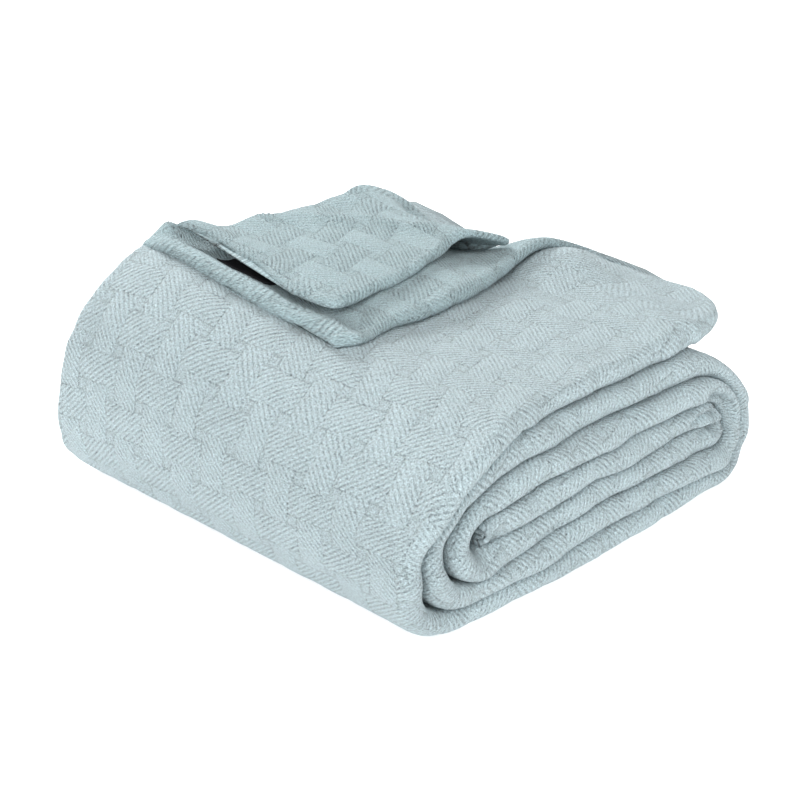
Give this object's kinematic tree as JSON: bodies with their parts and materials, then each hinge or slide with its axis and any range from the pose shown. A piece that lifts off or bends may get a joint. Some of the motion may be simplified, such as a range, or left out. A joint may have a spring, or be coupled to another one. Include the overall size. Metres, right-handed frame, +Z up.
{
  "type": "folded cotton throw",
  "caption": "Basket-weave cotton throw folded lengthwise, folded over into a thick rectangular pile, with its end turned back on top and a small sewn label.",
  "frame": {"origin": "on the floor, under the middle of the folded pile's box", "axes": "+Z up, X along the folded strip, Y across it; the end with the rounded folds is at -Y and the long bullnose side at -X"},
  "size_m": [0.3056, 0.295, 0.1336],
  "materials": {
    "cloth": "pale grey-blue cotton in a basket weave of twill strips, soft and matt, with a slight fuzz",
    "label": "black woven label tape, plain, with a slight satin sheen"
  },
  "bodies": {
    "root": {"throw": "cloth", "label": "label"}
  },
  "joints": []
}
